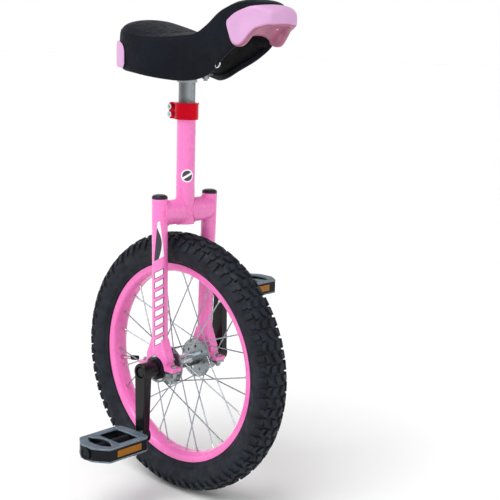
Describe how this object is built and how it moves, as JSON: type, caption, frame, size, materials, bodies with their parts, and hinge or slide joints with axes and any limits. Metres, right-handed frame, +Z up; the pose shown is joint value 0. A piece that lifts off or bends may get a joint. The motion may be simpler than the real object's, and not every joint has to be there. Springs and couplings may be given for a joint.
{
  "type": "unicycle",
  "caption": "Small-wheel unicycle with a curved saddle, a fork with clamped hub bearings, direct cranks, platform pedals and a height-adjustable seat post.",
  "frame": {"origin": "point where the tyre stands on the ground, straight under the hub", "axes": "+X forwards (the rider's direction), +Y the rider's left, +Z up"},
  "size_m": [0.413, 0.394, 0.7638],
  "materials": {
    "frame_paint": "glossy",
    "black_plastic": "satin",
    "zinc_steel": "satin",
    "bright_steel": "polished",
    "red_alloy": "anodised",
    "tyre_rubber": "matte",
    "rim_paint": "glossy",
    "tape": "matte",
    "nipple_brass": "polished",
    "hub_chrome": "polished",
    "crank_black": "glossy",
    "pedal_grey": "satin",
    "reflector_orange": "glossy",
    "post_chrome": "knurled",
    "saddle_cover": "satin",
    "bumper_pink": "satin"
  },
  "bodies": {
    "frame": {"seat_tube": "frame_paint", "fork_crown": "frame_paint", "fork_leg_left": "frame_paint", "fork_leg_right": "frame_paint", "leg_cap_left": "black_plastic", "leg_cap_right": "black_plastic", "bearing_holder_left": "frame_paint", "bearing_holder_right": "frame_paint", "bearing_cap_left": "zinc_steel", "bearing_cap_right": "zinc_steel", "bearing_bolts": "zinc_steel", "bearing_nuts": "zinc_steel", "bearing_outer_rings": "bright_steel", "seat_clamp": "red_alloy", "clamp_bolts": "bright_steel", "clamp_nuts": "bright_steel"},
    "wheel": {"tyre": "tyre_rubber", "inner_tube": "tyre_rubber", "rim": "rim_paint", "rim_tape": "tape", "spokes": "bright_steel", "spoke_nipples": "nipple_brass", "hub_shell": "hub_chrome", "hub_flange_left": "zinc_steel", "hub_flange_right": "zinc_steel", "axle": "bright_steel", "bearing_inner_rings": "bright_steel", "bearing_balls": "bright_steel", "dust_seals": "tyre_rubber", "crank_left": "crank_black", "crank_right": "crank_black", "crank_bolts": "bright_steel", "pedal_spindle_left": "bright_steel", "pedal_spindle_right": "bright_steel", "valve_stem": "nipple_brass", "valve_cap": "black_plastic"},
    "left_pedal": {"pedal_body_left": "black_plastic", "pedal_plates_left": "pedal_grey", "pedal_reflectors_left": "reflector_orange", "pedal_end_cap_left": "black_plastic"},
    "right_pedal": {"pedal_body_right": "black_plastic", "pedal_plates_right": "pedal_grey", "pedal_reflectors_right": "reflector_orange", "pedal_end_cap_right": "black_plastic"},
    "seat": {"seat_post": "post_chrome", "saddle_bracket": "zinc_steel", "saddle_base": "black_plastic", "saddle_cushion": "saddle_cover", "front_handle": "bumper_pink", "rear_bumper": "bumper_pink", "saddle_bolts": "zinc_steel", "saddle_nuts": "zinc_steel", "bumper_screws": "bright_steel"}
  },
  "joints": [
    {"name": "wheel_spin", "type": "hinge", "parent": "frame", "child": "wheel", "pos_m": [0, 0, 0.2065], "axis": [0, 1, 0], "continuous": true},
    {"name": "left_pedal_spin", "type": "hinge", "parent": "wheel", "child": "left_pedal", "pos_m": [0, 0.1465, 0.3075], "axis": [0, 1, 0], "continuous": true},
    {"name": "right_pedal_spin", "type": "hinge", "parent": "wheel", "child": "right_pedal", "pos_m": [0, -0.1465, 0.1055], "axis": [0, 1, 0], "continuous": true},
    {"name": "seat_height", "type": "slide", "parent": "frame", "child": "seat", "axis": [0, 0, 1], "range_m": [-0.03, 0.1]}
  ]
}
